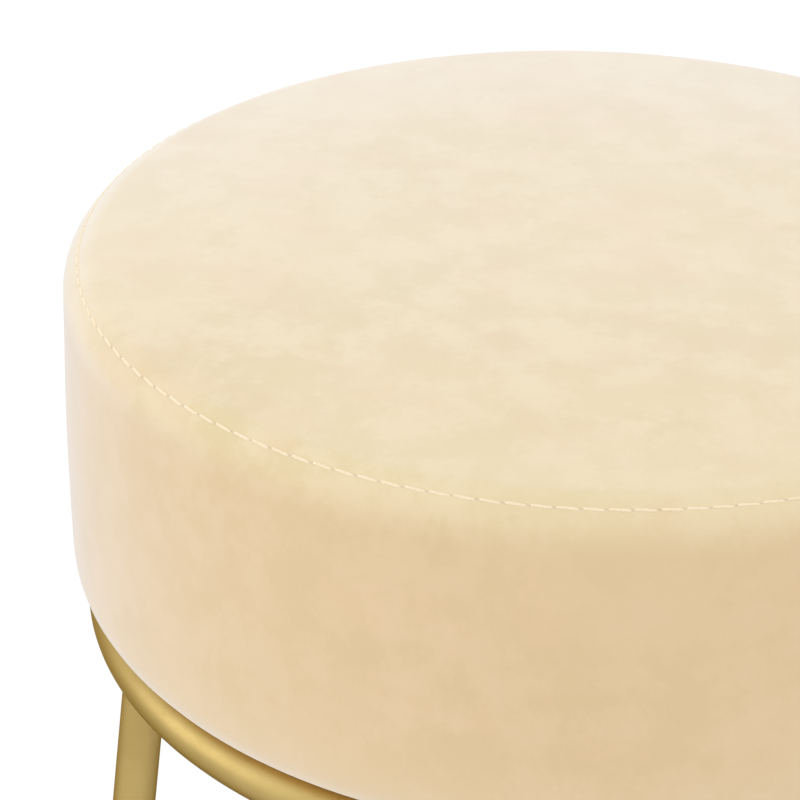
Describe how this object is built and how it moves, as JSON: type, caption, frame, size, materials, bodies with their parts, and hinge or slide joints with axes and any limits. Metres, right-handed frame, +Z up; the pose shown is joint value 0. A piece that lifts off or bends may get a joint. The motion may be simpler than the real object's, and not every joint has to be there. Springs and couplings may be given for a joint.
{
  "type": "vanity stool",
  "caption": "Round padded stool to sit on at a dressing table: a velvet drum cushion on a metal ring with slim splayed legs.",
  "frame": {"origin": "on the floor, on the axis of the round cushion", "axes": "+Z up along the cushion's axis; the seat fixings lie on X and Y and the legs stand on the diagonals"},
  "size_m": [0.3922, 0.3922, 0.45],
  "materials": {
    "velvet": "short-pile velvet, brushed in soft patches",
    "thread": "twisted sewing thread with a slight gloss",
    "wadding": "loose polyester fibre",
    "foam": "open-cell foam",
    "plywood": "raw plywood",
    "dust_cloth": "non-woven cloth",
    "gold_metal": "satin gold plating on steel",
    "zinc_steel": "zinc-plated steel",
    "glide_plastic": "moulded, fine grain"
  },
  "bodies": {
    "root": {"cover_top_panel": "velvet", "cover_side_band": "velvet", "seam_thread": "thread", "wadding_wrap": "wadding", "foam_pad": "foam", "seat_board": "plywood", "dust_cloth": "dust_cloth", "frame_ring": "gold_metal", "leg_1": "gold_metal", "leg_2": "gold_metal", "leg_3": "gold_metal", "leg_4": "gold_metal", "foot_glide_1": "glide_plastic", "foot_glide_2": "glide_plastic", "foot_glide_3": "glide_plastic", "foot_glide_4": "glide_plastic", "seat_tab_1": "gold_metal", "seat_tab_2": "gold_metal", "seat_tab_3": "gold_metal", "seat_tab_4": "gold_metal", "seat_screw_1": "zinc_steel", "seat_screw_2": "zinc_steel", "seat_screw_3": "zinc_steel", "seat_screw_4": "zinc_steel", "screw_washer_1": "zinc_steel", "screw_washer_2": "zinc_steel", "screw_washer_3": "zinc_steel", "screw_washer_4": "zinc_steel", "tee_nut_1": "zinc_steel", "tee_nut_2": "zinc_steel", "tee_nut_3": "zinc_steel", "tee_nut_4": "zinc_steel", "cloth_staple_1": "zinc_steel", "cloth_staple_2": "zinc_steel", "cloth_staple_3": "zinc_steel", "cloth_staple_4": "zinc_steel", "cloth_staple_5": "zinc_steel", "cloth_staple_6": "zinc_steel", "cloth_staple_7": "zinc_steel", "cloth_staple_8": "zinc_steel", "cloth_staple_9": "zinc_steel", "cloth_staple_10": "zinc_steel", "cloth_staple_11": "zinc_steel", "cloth_staple_12": "zinc_steel"}
  },
  "joints": []
}
